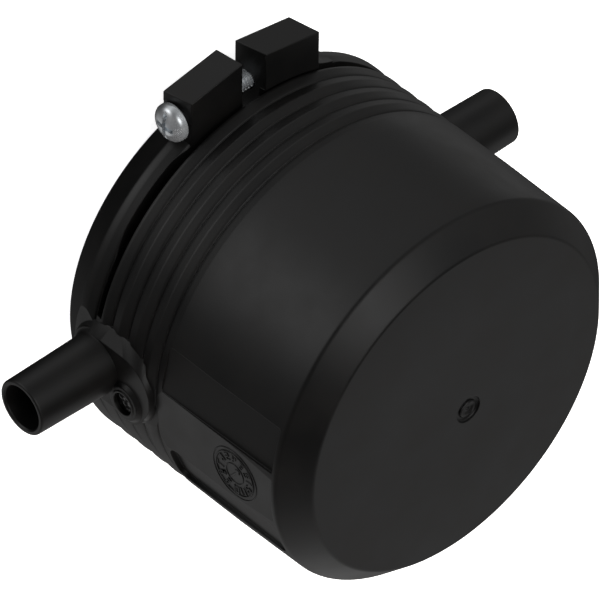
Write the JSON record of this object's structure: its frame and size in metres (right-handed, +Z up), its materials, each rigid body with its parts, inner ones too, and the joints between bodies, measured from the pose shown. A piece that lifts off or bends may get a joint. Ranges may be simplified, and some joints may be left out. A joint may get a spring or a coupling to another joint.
{
  "type": "electrofusion end cap",
  "caption": "Electrofusion pipe end cap with socket bore, embedded heating coil, two terminal shrouds and a screw-tightened clamp band.",
  "frame": {"origin": "centre of the mouth, where the socket bore opens", "axes": "+Z up the cap axis to the closed face, clamp lugs on +Y, terminals on -X and +X"},
  "size_m": [0.1242, 0.0942, 0.0675],
  "materials": {
    "body_plastic": "black moulded polyethylene, fine grain, satin",
    "indicator_plastic": "black polyethylene, smooth",
    "coil_wire": "bare resistance wire",
    "pin_metal": "turned brass",
    "zinc_steel": "bright zinc plated steel"
  },
  "bodies": {
    "root": {"cap_body": "body_plastic", "heating_coil": "coil_wire", "terminal_pin_left": "pin_metal", "terminal_pin_right": "pin_metal", "indicator_pin_left": "indicator_plastic", "indicator_pin_right": "indicator_plastic", "clamp_screw": "zinc_steel", "clamp_nut": "zinc_steel"}
  },
  "joints": []
}
